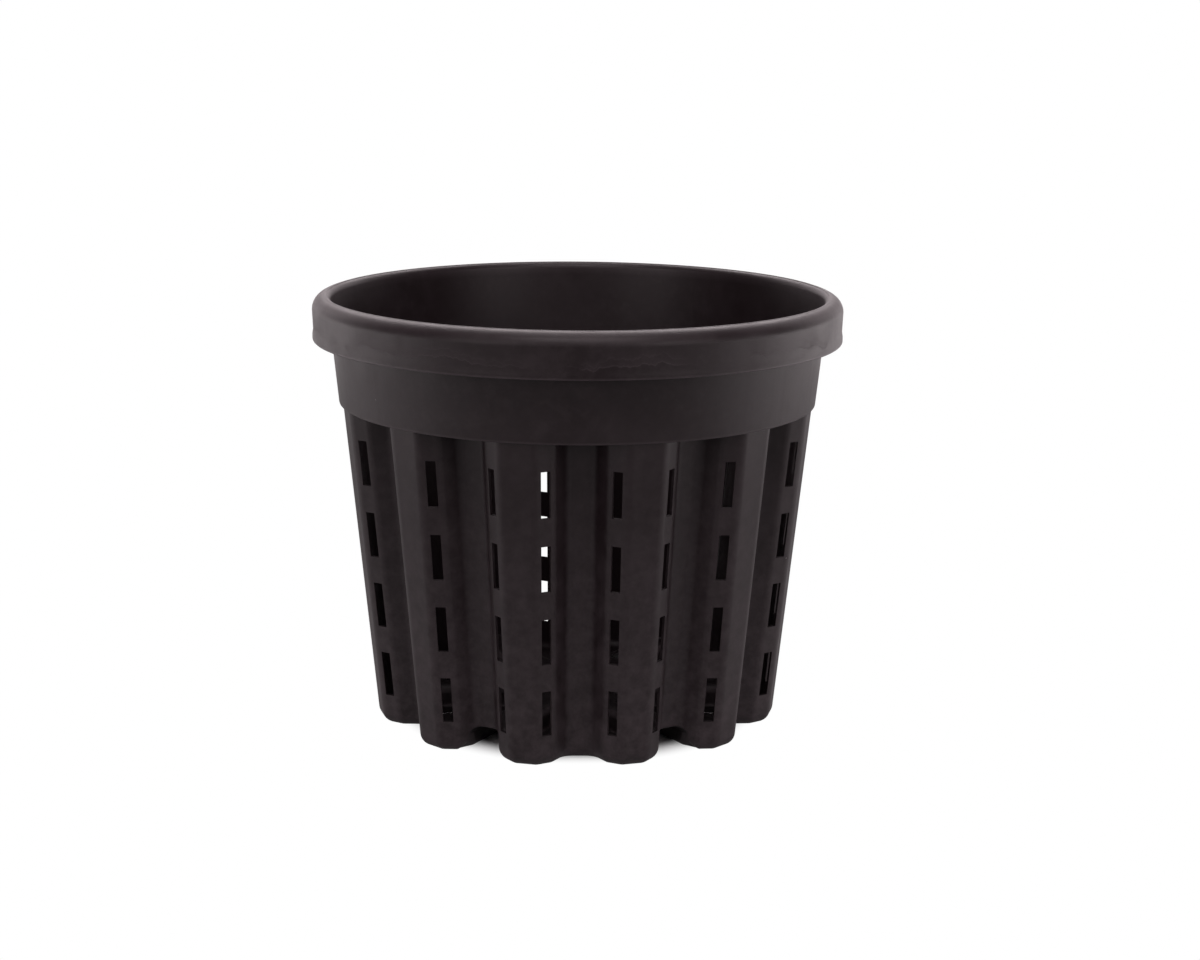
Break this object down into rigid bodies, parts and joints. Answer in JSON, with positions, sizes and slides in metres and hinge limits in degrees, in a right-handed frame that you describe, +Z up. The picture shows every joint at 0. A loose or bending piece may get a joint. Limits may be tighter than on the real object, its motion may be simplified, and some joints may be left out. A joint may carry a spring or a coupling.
{
  "type": "air pruning pot",
  "caption": "Round black nursery pot with a rolled lip and a folded, slotted wall that prunes roots by air, open at the top and raised on channelled feet.",
  "frame": {"origin": "centre of the base, on the surface that the pot stands on", "axes": "+Z up along the pot's axis, out of its mouth; -Y towards the viewer, through a valley of the folded wall"},
  "size_m": [0.3199, 0.32, 0.26],
  "materials": {
    "black_polypropylene": "matte to satin moulded polypropylene, faintly scuffed and dusty"
  },
  "bodies": {
    "root": {"pot": "black_polypropylene"}
  },
  "joints": []
}
